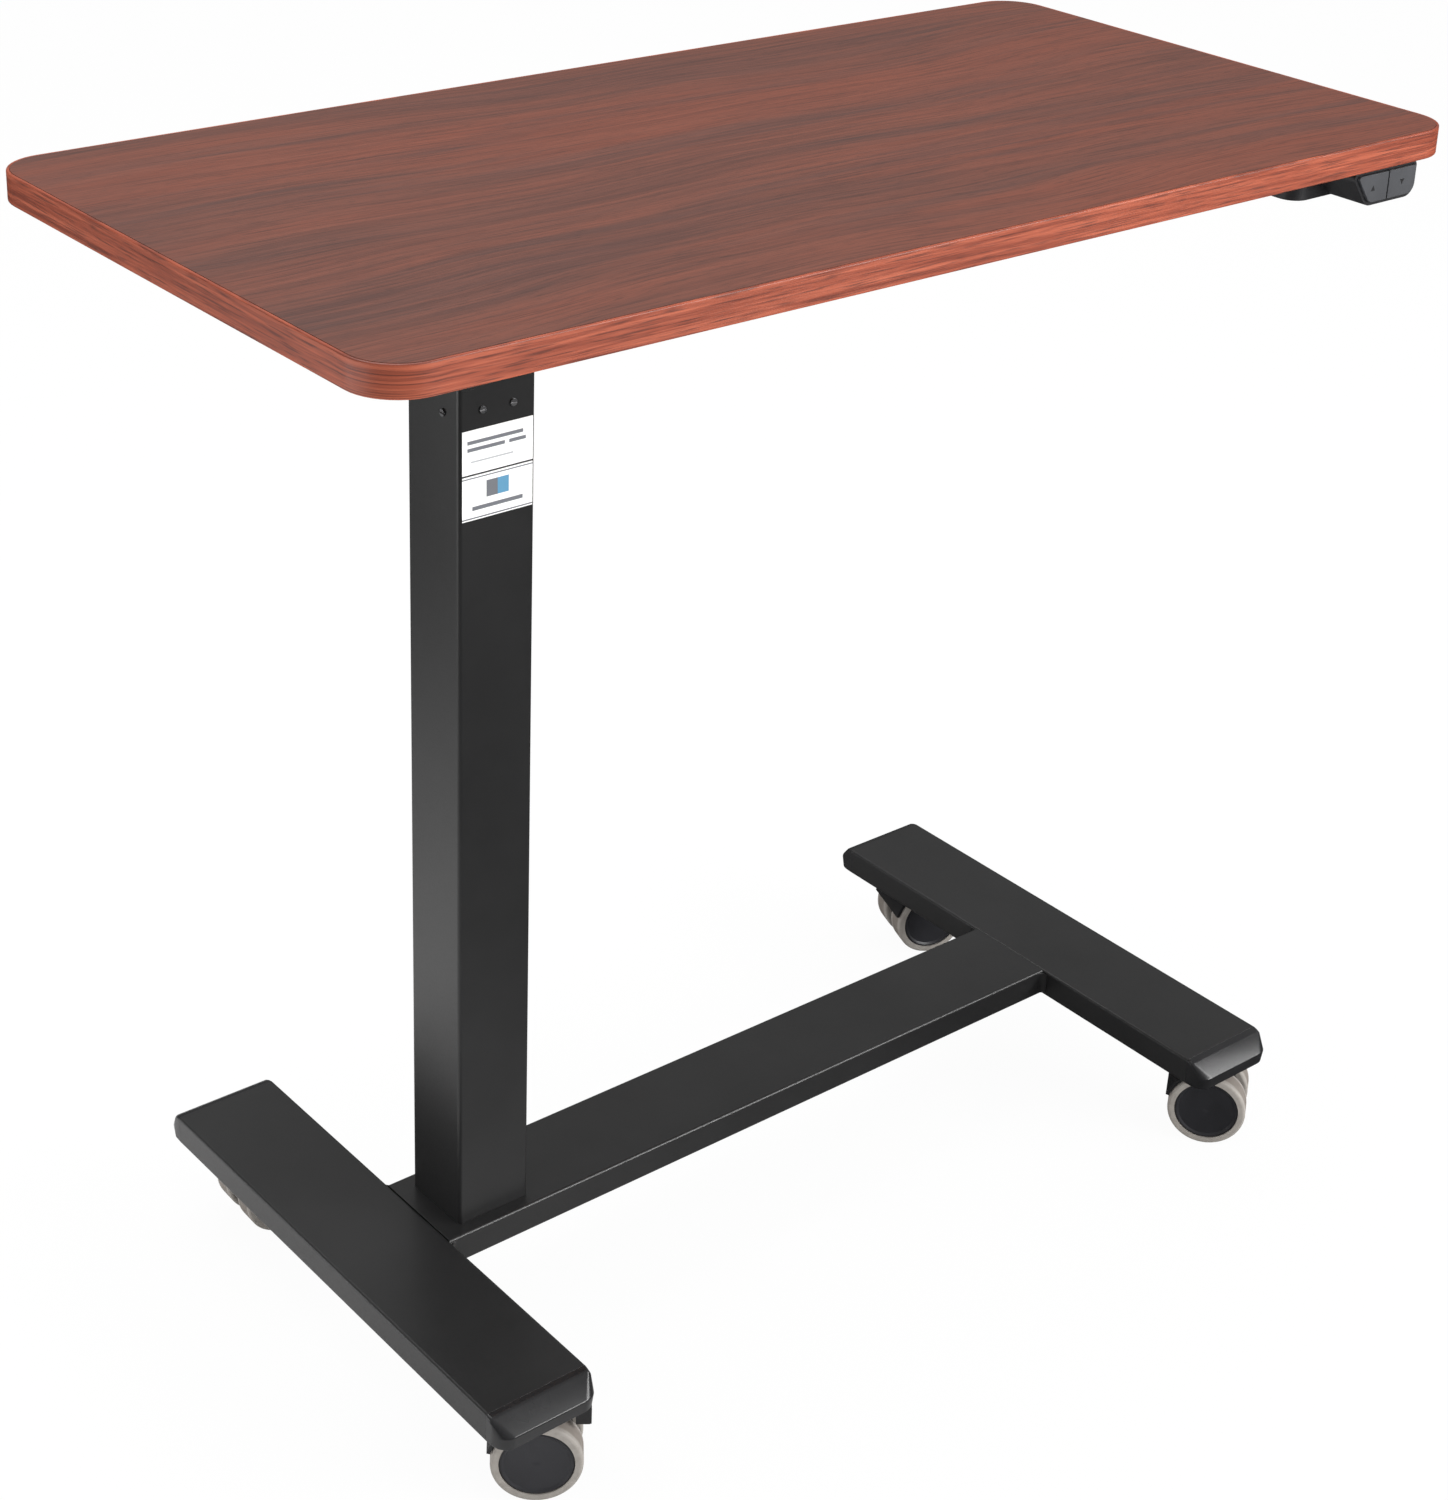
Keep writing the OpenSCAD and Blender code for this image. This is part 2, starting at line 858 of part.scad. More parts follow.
// Hollow-faced fillet weld in the corner between the beam and a foot.
module weld_bead(sx, sy) {
    linear_extrude(beam_h - 4)
        difference() {
            translate([sx * weld_r / 2, sy * weld_r / 2])
                square(weld_r, center = true);
            translate([sx * weld_r, sy * weld_r])
                circle(r = weld_r);
        }
}

module castor_sockets() {
    color("silver")
        for (x = [left_foot_x, right_foot_x], sy = [-1, 1])
            translate([x + stem_offset, sy * stem_y, foot_z])
                difference() {
                    cylinder(r = socket_r, h = socket_h);
                    translate([0, 0, -eps])
                        cylinder(r = stem_r + run_gap, h = socket_h + 2 * eps);
                }
}

// Screws of the upper glide, and the bolt under the nut tube's plug.
module base_fasteners() {
    color("silver") {
        difference() {
            glide_screws(glide_shank_r, outer_w / 2);
            at_column(column_z)
                linear_extrude(outer_top)
                    square(inner_w + 1, center = true);
        }
        difference() {
            glide_screws(glide_head_r, outer_w / 2 + glide_head_out);
            at_column(column_z)
                linear_extrude(outer_top)
                    square(outer_w, center = true);
            screw_slots();
        }
        at_column(column_z - beam_wall) {
            cylinder(r = 4, h = plug_h + beam_wall);
            translate([0, 0, -5])
                cylinder(r = 7, h = 5, $fn = 6);
        }
    }
}

// Slots across the screw heads, cut half way into them.
module screw_slots() {
    slot_l = 2 * glide_head_r + 1;
    slot_w = 0.8;
    cut = 4;
    middle = (outer_w + glide_head_out + cut) / 2;
    at_column(glide_screw_z)
        for (turn = [0, 180])
            rotate(turn) {
                for (sx = [-1, 1])
                    translate([sx * glide_screw_x, -middle, 0])
                        cube([slot_l, cut, slot_w], center = true);
                translate([middle, side_screw[0], side_screw[1]])
                    cube([cut, slot_l, slot_w], center = true);
            }
}

// Two blank rating stickers on the front face of the column.
module column_labels() {
    label_w = 48;
    color("white")
        for (label = [[507.5, 26.5], [479.4, 27]])
            translate([col_x - label_w / 2, -outer_w / 2 - 0.3, column_z + label[0]])
                cube([label_w, 0.3, label[1]]);
}

// ---- castors ----

module at_castor(x, y, turn) {
    translate([x, y, 0])
        rotate(turn)
            children();
}

module at_left_front() {
    at_castor(left_foot_x + stem_offset, -stem_y, left_front_turn)
        children();
}

module at_left_rear() {
    at_castor(left_foot_x + stem_offset, stem_y, left_rear_turn)
        children();
}

module at_right_front() {
    at_castor(right_foot_x + stem_offset, -stem_y, right_front_turn)
        children();
}

module at_right_rear() {
    at_castor(right_foot_x + stem_offset, stem_y, right_rear_turn)
        children();
}

// Flat plate across the castor, drawn from a profile in X and Z.
module cross_plate(half) {
    translate([0, half, 0])
        rotate([90, 0, 0])
            linear_extrude(2 * half)
                children();
}

module fender_sector(r) {
    span = 2 * r;
    translate([trail, wheel_r])
        intersection() {
            circle(r = r);
            polygon([
                [0, 0],
                [span * cos(fender_start), span * sin(fender_start)],
                [-span, span],
                [span * cos(fender_end), span * sin(fender_end)]
            ]);
        }
}

module castor_fork(braked) {
    color("black")
        difference() {
            union() {
                cross_plate(web_half) {
                    translate([trail, wheel_r])
                        circle(r = wheel_r - 8.5);
                    fender_sector(fender_out);
                    translate([trail - 4, wheel_r])
                        square([8, wheel_r]);
                    if (braked) {
                        translate([hinge_x, hinge_z])
                            circle(r = 2.8);
                        translate([0, hinge_z - 4])
                            square([hinge_x, 5]);
                    }
                }
                cross_plate(22)
                    difference() {
                        fender_sector(fender_out);
                        translate([trail, wheel_r])
                            circle(r = fender_in);
                    }
                translate([0, 0, wheel_d + 0.6])
                    cylinder(r = boss_r, h = foot_z - 0.5 - wheel_d - 0.6);
            }
            translate([0, 0, 44])
                cylinder(r = 3.5, h = 20);
            translate([0, 0, 56])
                cylinder(r = stem_r, h = 10);
            translate([trail, -10, wheel_r])
                rotate([-90, 0, 0])
                    cylinder(r = axle_r, h = 20);
            if (braked)
                translate([hinge_x, -10, hinge_z])
                    rotate([-90, 0, 0])
                        cylinder(r = 1.5, h = 20);
        }
}

// Steel pins of a castor: swivel stem with its washer, wheel axle, and the pedal's hinge pin.
module castor_pins(braked) {
    color("silver") {
        translate([0, 0, 44])
            cylinder(r = 3.5, h = 14);
        translate([0, 0, 56])
            cylinder(r = stem_r, h = foot_z + stem_rise - 56);
        translate([0, 0, foot_z - 0.5])
            cylinder(r = 9, h = 0.5);
        translate([trail, -axle_half, wheel_r])
            rotate([-90, 0, 0])
                cylinder(r = axle_r, h = 2 * axle_half);
        if (braked)
            translate([hinge_x, -8, hinge_z])
                rotate([-90, 0, 0])
                    cylinder(r = 1.5, h = 16);
    }
}

// Places a wheel part that is drawn along +Z from the castor's middle outwards.
module at_wheel(side) {
    translate([trail, 0, wheel_r])
        rotate([side * -90, 0, 0])
            translate([0, 0, wheel_gap])
                children();
}

module wheel_hub(side) {
    color("darkslategray")
        at_wheel(side)
            difference() {
                rotate_extrude($fn = 96)
                    polygon([
                        [0, 1.5], [9, 1.5], [9, 0], [11.5, 0], [11.5, 5], [hub_r - 3, 5], [hub_r - 2, 0.6],
                        [hub_r, 0.6], [hub_r, wheel_w - 1], [hub_r - 1.4, wheel_w - 0.4],
                        [hub_r - 3, wheel_w - 1.4], [0, wheel_w - 2]
                    ]);
                translate([0, 0, -eps])
                    cylinder(r = axle_r + run_gap, h = axle_half + 0.4 - wheel_gap);
            }
}

module wheel_tyre(side) {
    shoulder = 2.2;
    tread = wheel_r - hub_r;
    color("rosybrown")
        at_wheel(side)
            rotate_extrude($fn = 96)
                translate([hub_r, 0]) {
                    square([tread - shoulder, wheel_w]);
                    translate([0, shoulder])
                        square([tread, wheel_w - 2 * shoulder]);
                    for (z = [shoulder, wheel_w - shoulder])
                        translate([tread - shoulder, z])
                            circle(r = shoulder);
                }
}

// Brake pedal: two ears on the hinge pin, a plate over the wheels and a ribbed pad.
module brake_pedal() {
    rib = 1.2;
    color("black")
        difference() {
            union() {
                cross_plate(8)
                    translate([hinge_x, hinge_z])
                        circle(r = 2.8);
                translate([hinge_x, -8, hinge_z - 1])
                    cube([6, 16, 3]);
                translate([hinge_x + 4.5, -pedal_half, hinge_z - 1])
                    cube([pad_x + pad_l - hinge_x - 4.5, 2 * pedal_half, 3]);
                translate([pad_x, -pedal_half, hinge_z - 9])
                    cube([pad_l, 2 * pedal_half, 9]);
                for (i = [0 : 10])
                    translate([pad_x + pad_l - eps, -pedal_half + 0.4 + i * 2.6, hinge_z - 9])
                        cube([0.8, rib, 10.5]);
            }
            translate([hinge_x - 4, -web_half - 0.2, hinge_z - 5])
                cube([8, 2 * web_half + 0.4, 10]);
            translate([hinge_x, -10, hinge_z])
                rotate([-90, 0, 0])
                    cylinder(r = 1.5 + run_gap, h = 20);
        }
}

// ---- output, one node at a time ----

foot(left_foot_x);  // foot_left
foot(right_foot_x);  // foot_right
foot_end_caps();
base_beam();
castor_sockets();
outer_tube();
outer_glide();
nut_tube();
spindle_nut();
base_fasteners();
column_labels();
inner_tube();
inner_glide();
column_head_plate();
top_frame();
tabletop_board();
top_laminate();
edge_band();
lift_fasteners();
motor_can();
gear_housing();
spindle_bearing();
control_box();
circuit_board();
handset_housing();
cables();
spindle();
planet_carrier();
motor_rotor();
planet_gear(0);  // planet_gear_a
planet_gear(120);  // planet_gear_b
planet_gear(240);  // planet_gear_c
button(-1);  // button_up
button(1);  // button_down

at_left_front() castor_fork(true);  // left_front_castor_fork
at_left_front() castor_pins(true);  // left_front_castor_pins
at_left_front() wheel_hub(-1);  // left_front_hub_a
at_left_front() wheel_tyre(-1);  // left_front_tyre_a
at_left_front() wheel_hub(1);  // left_front_hub_b
at_left_front() wheel_tyre(1);  // left_front_tyre_b
at_left_front() brake_pedal();  // left_front_brake_pedal

at_left_rear() castor_fork(true);  // left_rear_castor_fork
at_left_rear() castor_pins(true);  // left_rear_castor_pins
at_left_rear() wheel_hub(-1);  // left_rear_hub_a
at_left_rear() wheel_tyre(-1);  // left_rear_tyre_a
at_left_rear() wheel_hub(1);  // left_rear_hub_b
at_left_rear() wheel_tyre(1);  // left_rear_tyre_b
at_left_rear() brake_pedal();  // left_rear_brake_pedal

at_right_front() castor_fork(false);  // right_front_castor_fork
at_right_front() castor_pins(false);  // right_front_castor_pins
at_right_front() wheel_hub(-1);  // right_front_hub_a
at_right_front() wheel_tyre(-1);  // right_front_tyre_a
at_right_front() wheel_hub(1);  // right_front_hub_b
at_right_front() wheel_tyre(1);  // right_front_tyre_b

at_right_rear() castor_fork(false);  // right_rear_castor_fork
at_right_rear() castor_pins(false);  // right_rear_castor_pins
at_right_rear() wheel_hub(-1);  // right_rear_hub_a
at_right_rear() wheel_tyre(-1);  // right_rear_tyre_a
at_right_rear() wheel_hub(1);  // right_rear_hub_b
at_right_rear() wheel_tyre(1);  // right_rear_tyre_b
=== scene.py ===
"""Looks of the overbed table: finishes, moulded pieces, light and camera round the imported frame."""

import json
import math

import bmesh
import bpy
from mathutils import Matrix, Vector

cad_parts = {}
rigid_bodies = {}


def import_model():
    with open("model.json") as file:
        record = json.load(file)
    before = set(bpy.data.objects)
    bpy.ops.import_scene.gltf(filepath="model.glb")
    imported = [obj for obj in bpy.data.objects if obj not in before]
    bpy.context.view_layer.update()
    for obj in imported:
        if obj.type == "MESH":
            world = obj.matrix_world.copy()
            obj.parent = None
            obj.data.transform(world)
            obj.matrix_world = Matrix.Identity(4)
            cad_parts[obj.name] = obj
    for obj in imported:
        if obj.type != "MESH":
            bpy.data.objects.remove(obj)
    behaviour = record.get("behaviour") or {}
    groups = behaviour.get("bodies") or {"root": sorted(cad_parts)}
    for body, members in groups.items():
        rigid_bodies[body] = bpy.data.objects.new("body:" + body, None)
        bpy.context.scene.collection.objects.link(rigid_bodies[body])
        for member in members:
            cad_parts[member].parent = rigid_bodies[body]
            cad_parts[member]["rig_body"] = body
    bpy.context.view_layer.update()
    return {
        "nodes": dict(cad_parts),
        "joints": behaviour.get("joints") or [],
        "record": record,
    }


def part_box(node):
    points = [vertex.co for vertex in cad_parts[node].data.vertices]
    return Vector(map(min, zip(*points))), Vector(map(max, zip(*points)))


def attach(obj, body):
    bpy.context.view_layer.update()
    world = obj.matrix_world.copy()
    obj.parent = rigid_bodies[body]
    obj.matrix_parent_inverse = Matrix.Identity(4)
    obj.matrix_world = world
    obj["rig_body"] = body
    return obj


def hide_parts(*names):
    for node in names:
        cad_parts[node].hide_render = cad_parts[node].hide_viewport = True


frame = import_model()
scene = bpy.context.scene
nodes = frame["nodes"]
slot_of = {part["node"]: part["material_slot"] for part in frame["record"]["subparts"]}


# ---- building materials from nodes ----

class Finish:
    """One node material, with short ways to add the textures that the finishes share."""

    def __init__(self, name, **surface):
        self.material = bpy.data.materials.new(name)
        self.material.use_nodes = True
        self.tree = self.material.node_tree
        self.shader = self.tree.nodes["Principled BSDF"]
        self.place = self.add("ShaderNodeTexCoord").outputs["Object"]
        for key, value in surface.items():
            self.set(key, value)

    def set(self, key, value):
        self.feed(self.shader.inputs[key.replace("_", " ")], value)

    def feed(self, socket, value):
        if isinstance(value, bpy.types.NodeSocket):
            self.tree.links.new(value, socket)
        else:
            socket.default_value = value

    def add(self, kind, inputs=(), **settings):
        node = self.tree.nodes.new(kind)
        for key, value in settings.items():
            setattr(node, key, value)
        for key, value in dict(inputs).items():
            self.feed(node.inputs[key], value)
        return node

    def stretch(self, scale, place=None, turn=(0, 0, 0)):
        inputs = {"Vector": place or self.place, "Scale": scale, "Rotation": turn}
        return self.add("ShaderNodeMapping", inputs).outputs[0]

    def noise(self, scale, detail=3, rough=0.55, bend=0, place=None, turn=(0, 0, 0)):
        """Noise with its own scale along each axis, in cells per metre."""
        inputs = {
            "Vector": self.stretch(scale, place, turn),
            "Scale": 1,
            "Detail": detail,
            "Roughness": rough,
            "Distortion": bend,
        }
        return self.add("ShaderNodeTexNoise", inputs).outputs[0]

    def ramp(self, amount, *stops):
        node = self.add("ShaderNodeValToRGB", {"Fac": amount})
        while len(node.color_ramp.elements) < len(stops):
            node.color_ramp.elements.new(0.5)
        for element, (position, colour) in zip(node.color_ramp.elements, stops):
            element.position = position
            element.color = (*colour, 1)
        return node.outputs[0]

    def fade(self, amount, low, high, start=0.0, end=1.0):
        """Maps amount from low..high to start..end, held at both ends."""
        inputs = {0: amount, 1: low, 2: high, 3: start, 4: end}
        return self.add("ShaderNodeMapRange", inputs).outputs[0]

    def mix(self, amount, first, second, blend="MIX"):
        inputs = {0: amount, 6: first, 7: second}
        node = self.add("ShaderNodeMix", (), data_type="RGBA", blend_type=blend)
        for key, value in inputs.items():
            if isinstance(value, tuple) and len(value) == 3:
                value = (*value, 1)
            self.feed(node.inputs[key], value)
        return node.outputs[2]

    def maths(self, operation, first, second=0.0):
        node = self.add("ShaderNodeMath", {0: first, 1: second}, operation=operation)
        return node.outputs[0]

    def axes(self, place=None):
        return self.add("ShaderNodeSeparateXYZ", {0: place or self.place}).outputs

    def relief(self, height, distance, strength=1.0, soften=0.0):
        """Bump from a height, over edges rounded by the soften radius."""
        inputs = {"Height": height, "Distance": distance, "Strength": strength}
        if soften:
            inputs["Normal"] = self.add("ShaderNodeBevel", {"Radius": soften}, samples=4).outputs[0]
        self.set("Normal", self.add("ShaderNodeBump", inputs).outputs[0])


# ---- finishes ----

def laminate_finish():
    """Dark red-brown woodgrain along X: broad slate streaks, fine figure, short pores, a satin emboss."""
    f = Finish("laminate", Specular_IOR_Level=0.32)
    sway = f.noise((2.2, 5, 1), 2, 0.5)
    swayed = f.add("ShaderNodeVectorMath", {0: f.place}, operation="ADD")
    shift = f.add("ShaderNodeCombineXYZ", {"Y": f.fade(sway, 0.2, 0.8, -0.022, 0.022)})
    f.feed(swayed.inputs[1], shift.outputs[0])
    along = swayed.outputs[0]
    broad = f.noise((1.7, 16, 1), 3, 0.55, 0.3, along)
    bands = f.noise((2.6, 46, 1), 4, 0.6, 0.4, along)
    figure = f.noise((5, 300, 1), 4, 0.65, 0.2, along)
    fibre = f.noise((16, 800, 1), 2, 0.6, 0.0, along)
    pores = f.noise((90, 1500, 1), 1, 0.5, 0.0, along, (0, 0, math.radians(4)))
    base = f.ramp(
        broad,
        (0.25, (0.056, 0.031, 0.029)),
        (0.42, (0.106, 0.040, 0.029)),
        (0.56, (0.152, 0.047, 0.030)),
        (0.78, (0.176, 0.046, 0.026)),
    )
    streak = f.mix(f.fade(bands, 0.50, 0.70, 0, 0.62), base, (0.056, 0.036, 0.034))
    grain = f.mix(f.fade(figure, 0.34, 0.70, 0.0, 0.46), streak, (0.232, 0.072, 0.043))
    lines = f.mix(f.fade(fibre, 0.48, 0.70, 0, 0.55), grain, (0.046, 0.022, 0.018))
    colour = f.mix(f.fade(pores, 0.60, 0.72, 0, 0.45), lines, (0.038, 0.020, 0.017))
    f.set("Base_Color", colour)
    f.set("Roughness", f.fade(figure, 0.3, 0.7, 0.40, 0.50))
    emboss = f.maths("ADD", f.maths("MULTIPLY", fibre, 0.6), pores)
    f.relief(emboss, 0.00012, 0.5)
    return f.material


def edge_finish():
    """Edge band print: orange-red, with short dark flecks along the band."""
    f = Finish("edge_strip", Specular_IOR_Level=0.42)
    x, y, z = f.axes()
    run = f.add("ShaderNodeCombineXYZ", {0: f.maths("ADD", x, y), 1: z}).outputs[0]
    figure = f.noise((9, 380, 1), 4, 0.6, 0.5, run)
    flecks = f.noise((32, 900, 1), 2, 0.6, 0.2, run)
    base = f.ramp(
        figure,
        (0.30, (0.170, 0.036, 0.020)),
        (0.48, (0.315, 0.066, 0.031)),
        (0.70, (0.490, 0.115, 0.054)),
    )
    f.set("Base_Color", f.mix(f.fade(flecks, 0.50, 0.66, 0, 0.75), base, (0.095, 0.026, 0.018)))
    f.set("Roughness", f.fade(figure, 0.3, 0.7, 0.34, 0.46))
    f.relief(flecks, 0.00008, 0.6)
    return f.material


def coated_steel(name, colour, roughness, soften=0.0009):
    """Powder coat: fine orange peel, a little uneven in tone, and soft light along the edges."""
    f = Finish(name, Specular_IOR_Level=0.5)
    peel = f.noise((700, 700, 700), 2, 0.5)
    cloud = f.noise((9, 9, 9), 3, 0.6)
    specks = f.noise((2600, 2600, 2600), 1, 0.5)
    dark = tuple(c * 0.82 for c in colour)
    light = tuple(c * 1.25 for c in colour)
    tone = f.mix(f.fade(cloud, 0.3, 0.7), dark, light)
    f.set("Base_Color", f.mix(f.fade(specks, 0.66, 0.78, 0, 0.25), tone, tuple(c * 2.2 for c in colour)))
    f.set("Roughness", f.fade(peel, 0.25, 0.75, roughness - 0.04, roughness + 0.05))
    f.relief(peel, 0.00003, 0.5, soften)
    return f.material


def moulded(name, colour, roughness, grain=900, depth=0.00004, soften=0.0005, specular=0.5, uneven=0.06):
    """Moulded plastic: fine spark texture, and faint flow marks in its tone."""
    f = Finish(name, Specular_IOR_Level=specular)
    spark = f.noise((grain, grain, grain), 3, 0.6)
    flow = f.noise((30, 30, 14), 2, 0.6, 0.8)
    dark = tuple(c * 0.8 for c in colour)
    light = tuple(c * 1.2 for c in colour)
    f.set("Base_Color", f.mix(f.fade(flow, 0.3, 0.7), dark, light))
    f.set("Roughness", f.fade(spark, 0.3, 0.7, roughness - uneven, roughness + uneven))
    f.relief(spark, depth, 0.5, soften)
    return f.material


def metal(name, colour, roughness, lines=(60, 60, 2400), soften=0.0004):
    """Bare or plated metal with drawn lines and a few dull spots."""
    f = Finish(name, Metallic=1.0)
    drawn = f.noise(lines, 3, 0.6)
    dull = f.noise((140, 140, 140), 3, 0.6)
    f.set("Base_Color", f.mix(f.fade(dull, 0.35, 0.75), colour, tuple(c * 0.72 for c in colour)))
    f.set("Roughness", f.fade(drawn, 0.3, 0.7, roughness - 0.07, roughness + 0.09))
    f.relief(drawn, 0.00003, 0.4, soften)
    return f.material


def board_finish():
    """Fibreboard: pressed fibres in mixed browns."""
    f = Finish("board_core", Specular_IOR_Level=0.25)
    fibres = f.noise((260, 900, 260), 4, 0.7, 0.6)
    clumps = f.noise((40, 40, 40), 3, 0.6)
    base = f.ramp(fibres, (0.3, (0.16, 0.085, 0.055)), (0.7, (0.27, 0.155, 0.10)))
    f.set("Base_Color", f.mix(f.fade(clumps, 0.3, 0.7, 0, 0.3), base, (0.20, 0.11, 0.07)))
    f.set("Roughness", 0.62)
    f.relief(fibres, 0.00015, 0.5)
    return f.material


def label_finish():
    """White printed film: grey bars where lines of print would be, and one plain blue and grey block."""
    low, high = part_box("column_labels")
    width, height = high.x - low.x, high.z - low.z
    f = Finish("label_film", Specular_IOR_Level=0.45)
    x, _, z = f.axes()
    across = f.maths("DIVIDE", f.maths("SUBTRACT", x, low.x), width)
    up = f.maths("DIVIDE", f.maths("SUBTRACT", z, low.z), height)

    def patch(left, right, bottom, top):
        def between(place, start, end):
            past_start = f.maths("GREATER_THAN", place, start)
            before_end = f.maths("LESS_THAN", place, end)
            return f.maths("MULTIPLY", past_start, before_end)

        return f.maths("MULTIPLY", between(across, left, right), between(up, bottom, top))

    paper = f.noise((500, 500, 500), 2, 0.5)
    colour = f.mix(f.fade(paper, 0.3, 0.7), (0.93, 0.94, 0.93), (0.97, 0.97, 0.96))
    grey, pale, blue = (0.16, 0.17, 0.19), (0.45, 0.46, 0.48), (0.10, 0.30, 0.48)
    prints = [
        ((0.07, 0.86, 0.845, 0.885), grey),
        ((0.07, 0.60, 0.765, 0.805), grey),
        ((0.66, 0.90, 0.765, 0.805), grey),
        ((0.12, 0.72, 0.640, 0.658), pale),
        ((0.34, 0.50, 0.225, 0.410), grey),
        ((0.50, 0.66, 0.225, 0.410), blue),
        ((0.14, 0.86, 0.105, 0.150), grey),
        ((-1.0, 2.0, 0.014, 0.030), grey),
        ((-1.0, 2.0, 0.462, 0.476), grey),
    ]
    for spot, ink in prints:
        colour = f.mix(patch(*spot), colour, ink)
    f.set("Base_Color", colour)
    f.set("Roughness", 0.42)
    f.relief(paper, 0.00002, 0.3)
    return f.material


def tyre_finish():
    """Taupe-grey rubber: pale shoulders, a browner tread with faint dust, set by the across attribute."""
    f = Finish("tyre_rubber", Specular_IOR_Level=0.35)
    across = f.add("ShaderNodeAttribute", (), attribute_name="across").outputs["Fac"]
    dust = f.noise((170, 170, 170), 4, 0.65)
    base = f.ramp(
        across,
        (0.02, (0.36, 0.335, 0.305)),
        (0.16, (0.40, 0.37, 0.34)),
        (0.26, (0.245, 0.215, 0.190)),
        (0.74, (0.245, 0.215, 0.190)),
        (0.84, (0.40, 0.37, 0.34)),
        (0.98, (0.36, 0.335, 0.305)),
    )
    f.set("Base_Color", f.mix(f.fade(dust, 0.35, 0.75, 0, 0.4), base, (0.185, 0.165, 0.150)))
    f.set("Roughness", f.fade(dust, 0.3, 0.7, 0.48, 0.68))
    f.relief(dust, 0.00008, 0.5)
    return f.material


def circuit_finish():
    """Green solder mask with paler tracks."""
    f = Finish("circuit_laminate", Specular_IOR_Level=0.5)
    inputs = {
        "Vector": f.place,
        "Scale": 90.0,
        "Mortar Size": 0.012,
        "Color1": (0.01, 0.09, 0.04, 1),
        "Color2": (0.015, 0.12, 0.05, 1),
        "Mortar": (0.05, 0.22, 0.10, 1),
    }
    tracks = f.add("ShaderNodeTexBrick", inputs)
    f.set("Base_Color", tracks.outputs["Color"])
    f.set("Roughness", f.fade(f.noise((300, 300, 300)), 0.3, 0.7, 0.3, 0.45))
    f.relief(tracks.outputs["Fac"], 0.00004, 0.4)
    return f.material


def build_finishes():
    return {
        "laminate": laminate_finish(),
        "edge_strip": edge_finish(),
        "board_core": board_finish(),
        "black_steel": coated_steel("black_steel", (0.0135, 0.0135, 0.0138), 0.33, 0.0006),
        "grey_steel": coated_steel("grey_steel", (0.022, 0.022, 0.024), 0.34),
        "motor_steel": coated_steel("motor_steel", (0.06, 0.065, 0.07), 0.4),
        "cap_plastic": moulded("cap_plastic", (0.013, 0.013, 0.014), 0.25, 260, 0.000006, 0, 0.5, 0.012),
        "black_plastic": moulded("black_plastic", (0.017, 0.017, 0.019), 0.40),
        "button_plastic": moulded("button_plastic", (0.058, 0.060, 0.066), 0.44, 1400, 0.00002),
        "castor_plastic": moulded("castor_plastic", (0.012, 0.012, 0.013), 0.45),
        "hub_plastic": moulded("hub_plastic", (0.021, 0.021, 0.025), 0.42),
        "glide_plastic": moulded("glide_plastic", (0.012, 0.012, 0.012), 0.5),
        "nut_plastic": moulded("nut_plastic", (0.62, 0.58, 0.47), 0.45),
        "gear_plastic": moulded("gear_plastic", (0.58, 0.54, 0.42), 0.42),
        "cable_jacket": moulded("cable_jacket", (0.014, 0.014, 0.014), 0.42, 500, 0.00003, 0),
        "plated_steel": metal("plated_steel", (0.20, 0.20, 0.205), 0.36),
        "ground_steel": metal("ground_steel", (0.56, 0.56, 0.57), 0.24),
        "cast_alloy": metal("cast_alloy", (0.52, 0.53, 0.54), 0.45, (300, 300, 300)),
        "bronze": metal("bronze", (0.52, 0.33, 0.13), 0.4),
        "label_film": label_finish(),
        "tyre_rubber": tyre_finish(),
        "mark_ink": moulded("mark_ink", (0.004, 0.004, 0.005), 0.6, 900, 0.00001, 0),
        "circuit_laminate": circuit_finish(),
    }


finishes = build_finishes()


# ---- carried-over CAD nodes ----

def paint(obj, slot):
    """Gives a piece the finish of a material slot."""
    obj.data.materials.clear()
    obj.data.materials.append(finishes[slot])


def level_normals(obj):
    """Lets the large faces set the shading, so flat faces stay flat beside rounded corners."""
    level = obj.modifiers.new("level", "WEIGHTED_NORMAL")
    level.mode = "FACE_AREA"
    level.weight = 100
    level.keep_sharp = True


def smooth(obj, limit=32):
    """Smooths every edge flatter than the limit."""
    for polygon in obj.data.polygons:
        polygon.use_smooth = True
    obj.data.set_sharp_from_angle(angle=math.radians(limit))


def weld(obj):
    """Joins split vertices, so that edges between faces can be rounded."""
    join = obj.modifiers.new("weld", "WELD")
    join.merge_threshold = 1e-6


def round_edges(obj, width):
    """Rounds the sharp edges of a piece for display."""
    bevel = obj.modifiers.new("round", "BEVEL")
    bevel.width = width
    bevel.segments = 3
    bevel.limit_method = "ANGLE"
    bevel.angle_limit = math.radians(50)
    bevel.use_clamp_overlap = True


def mark_across(obj):
    """Writes how far across its width each point of a tyre lies, 0 at one face and 1 at the other."""
    joint = next(j for j in frame["joints"] if j["child"] == obj["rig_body"])
    axis = Vector(joint["axis"])
    reach = [vertex.co.dot(axis) for vertex in obj.data.vertices]
    low, high = min(reach), max(reach)
    across = obj.data.attributes.new("across", "FLOAT", "POINT")
    across.data.foreach_set("value", [(r - low) / (high - low) for r in reach])


edge_rounding = {
    "button_up": 0.0009,
    "button_down": 0.0009,
    "edge_band": 0.0007,
    "handset_housing": 0.0004,
}

